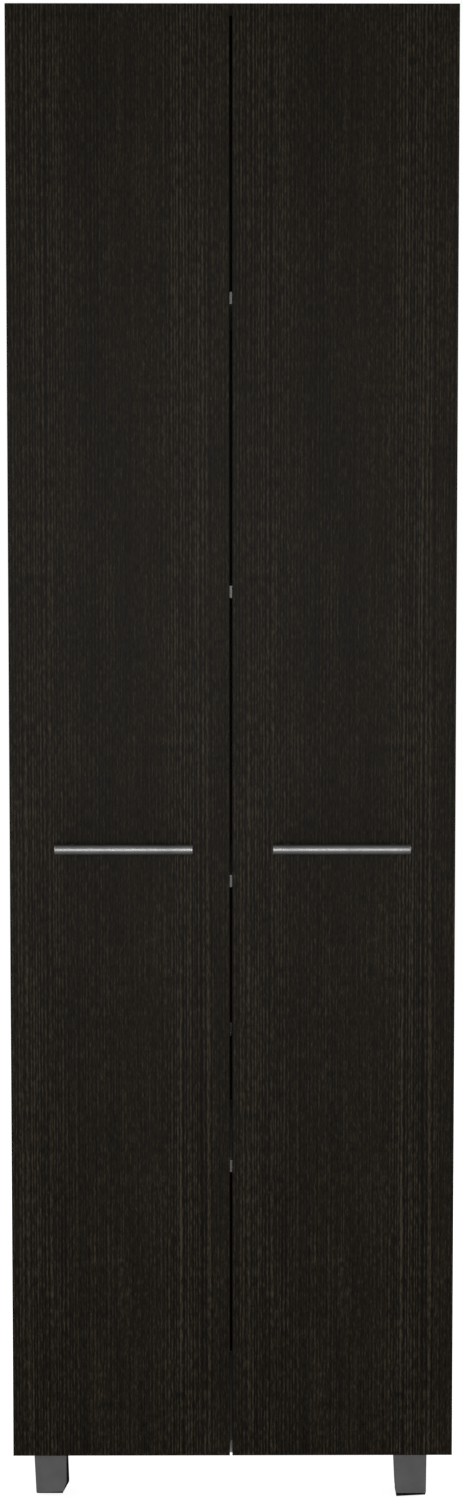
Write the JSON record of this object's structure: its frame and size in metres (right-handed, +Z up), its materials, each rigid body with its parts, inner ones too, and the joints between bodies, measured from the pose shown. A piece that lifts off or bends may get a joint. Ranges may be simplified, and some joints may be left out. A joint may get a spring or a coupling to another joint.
{
  "type": "pantry cabinet",
  "caption": "Tall narrow two-door pantry cabinet in near-black wood grain, with shelves inside, horizontal bar handles and square moulded legs.",
  "frame": {"origin": "middle of the bounding box at floor level, so midway between the front of the handles and the rear of the back's joint strip", "axes": "+X to the right as seen from the front, +Y from the doors to the back, +Z up"},
  "size_m": [0.54, 0.431, 1.82],
  "materials": {
    "dark_board": "melamine with a fine embossed near-black vertical grain",
    "light_board": "plain light grey melamine",
    "hardboard": "thin hardboard, dark foil inside and brown outside",
    "strip_plastic": "extruded dark plastic",
    "leg_plastic": "moulded grey plastic, fine texture",
    "foot_rubber": "black moulded plastic",
    "screw_steel": "zinc-plated steel",
    "cast_zinc": "die-cast zinc",
    "beech": "fluted beech dowel",
    "bracket_steel": "zinc-plated steel",
    "handle_steel": "satin nickel on a round bar",
    "bumper_plastic": "clear soft plastic dot",
    "hinge_nickel": "nickel-plated pressed steel"
  },
  "bodies": {
    "carcass": {"left_side": "dark_board", "right_side": "dark_board", "top_panel": "dark_board", "bottom_panel": "light_board", "shelf_1": "light_board", "shelf_2": "light_board", "shelf_3": "light_board", "shelf_4": "light_board", "back_panel_lower": "hardboard", "back_panel_upper": "hardboard", "back_joint_strip": "strip_plastic", "leg_front_left": "leg_plastic", "leg_front_right": "leg_plastic", "leg_rear_right": "leg_plastic", "leg_rear_left": "leg_plastic", "leg_feet": "foot_rubber", "leg_screws": "screw_steel", "cam_locks": "cast_zinc", "cam_bolts": "screw_steel", "wood_dowels": "beech", "shelf_pins": "cast_zinc", "back_nails": "screw_steel", "wall_bracket": "bracket_steel", "bracket_screws": "screw_steel", "left_hinge_plates": "hinge_nickel", "right_hinge_plates": "hinge_nickel", "plate_screws": "screw_steel", "arm_screws": "screw_steel", "left_arm_lower": "hinge_nickel", "left_arm_middle": "hinge_nickel", "left_arm_upper": "hinge_nickel", "right_arm_lower": "hinge_nickel", "right_arm_middle": "hinge_nickel", "right_arm_upper": "hinge_nickel"},
    "left_door": {"left_door": "dark_board", "left_handle_bar": "handle_steel", "left_handle_posts": "handle_steel", "left_handle_screws": "screw_steel", "left_door_bumpers": "bumper_plastic", "left_cup_screws": "screw_steel", "left_cup_lower": "hinge_nickel", "left_cup_middle": "hinge_nickel", "left_cup_upper": "hinge_nickel"},
    "right_door": {"right_door": "dark_board", "right_handle_bar": "handle_steel", "right_handle_posts": "handle_steel", "right_handle_screws": "screw_steel", "right_door_bumpers": "bumper_plastic", "right_cup_screws": "screw_steel", "right_cup_lower": "hinge_nickel", "right_cup_middle": "hinge_nickel", "right_cup_upper": "hinge_nickel"},
    "left_hinge_links": {"left_link_lower": "hinge_nickel", "left_link_middle": "hinge_nickel", "left_link_upper": "hinge_nickel"},
    "right_hinge_links": {"right_link_lower": "hinge_nickel", "right_link_middle": "hinge_nickel", "right_link_upper": "hinge_nickel"}
  },
  "joints": [
    {"name": "left_door_hinge", "type": "hinge", "parent": "carcass", "child": "left_door", "pos_m": [-0.264, -0.1825, 0.9375], "axis": [0, 0, -1], "range_deg": [0, 105]},
    {"name": "right_door_hinge", "type": "hinge", "parent": "carcass", "child": "right_door", "pos_m": [0.264, -0.1825, 0.9375], "axis": [0, 0, 1], "range_deg": [0, 105]},
    {"name": "left_links_turn", "type": "hinge", "parent": "carcass", "child": "left_hinge_links", "pos_m": [-0.245, -0.1745, 0.9375], "axis": [0, 0, -1], "range_deg": [-45, 0]},
    {"name": "right_links_turn", "type": "hinge", "parent": "carcass", "child": "right_hinge_links", "pos_m": [0.245, -0.1745, 0.9375], "axis": [0, 0, 1], "range_deg": [-45, 0]}
  ],
  "couplings": [
    {"joint": "left_links_turn", "follows": "left_door_hinge", "ratio": -0.42857},
    {"joint": "right_links_turn", "follows": "right_door_hinge", "ratio": -0.42857}
  ]
}
